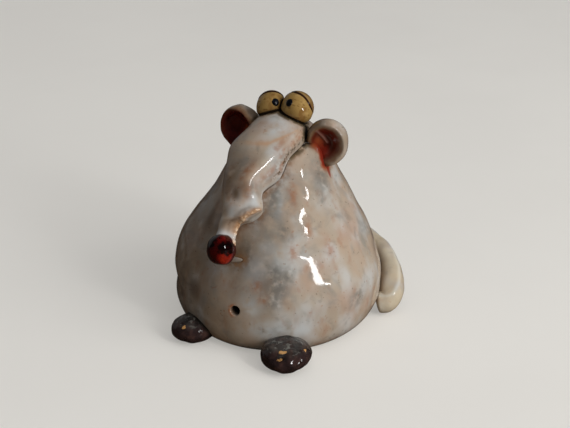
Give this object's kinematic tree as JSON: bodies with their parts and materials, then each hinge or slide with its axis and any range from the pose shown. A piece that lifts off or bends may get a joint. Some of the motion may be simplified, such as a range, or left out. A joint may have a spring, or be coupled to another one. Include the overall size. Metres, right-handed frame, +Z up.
{
  "type": "rat figurine",
  "caption": "Free-standing glazed ceramic rat ornament: hollow pear-shaped body on a flat base, drooping snout with ball nose, bulging eyes, cupped ears, stub feet and a hooked tail.",
  "frame": {"origin": "Centre of the base disc's flat underside, on the surface the figurine stands on.", "axes": "+Z up. The animal faces -Y, so +X is its left side, where the tail comes round."},
  "size_m": [0.0975, 0.1025, 0.1006],
  "materials": {
    "cream_glaze": "glossy mottled cream-grey glaze, clay showing through on the ridges",
    "bare_clay": "unglazed fired clay, dry",
    "red_glaze": "glossy deep red glaze with black patches",
    "ochre_glaze": "glossy ochre glaze, darker towards the edges",
    "black_glaze": "glossy blue-black glaze",
    "brown_glaze": "glossy dark purple-brown glaze"
  },
  "bodies": {
    "root": {"body_shell": "cream_glaze", "base_disc": "bare_clay", "snout": "cream_glaze", "nose_ball": "red_glaze", "lower_lip": "cream_glaze", "eyeball_left": "ochre_glaze", "eyeball_right": "ochre_glaze", "pupil_left": "black_glaze", "pupil_right": "black_glaze", "eyelid_left": "ochre_glaze", "eyelid_right": "ochre_glaze", "ear_left": "cream_glaze", "ear_right": "cream_glaze", "foot_left": "brown_glaze", "foot_right": "brown_glaze", "tail": "cream_glaze"}
  },
  "joints": []
}
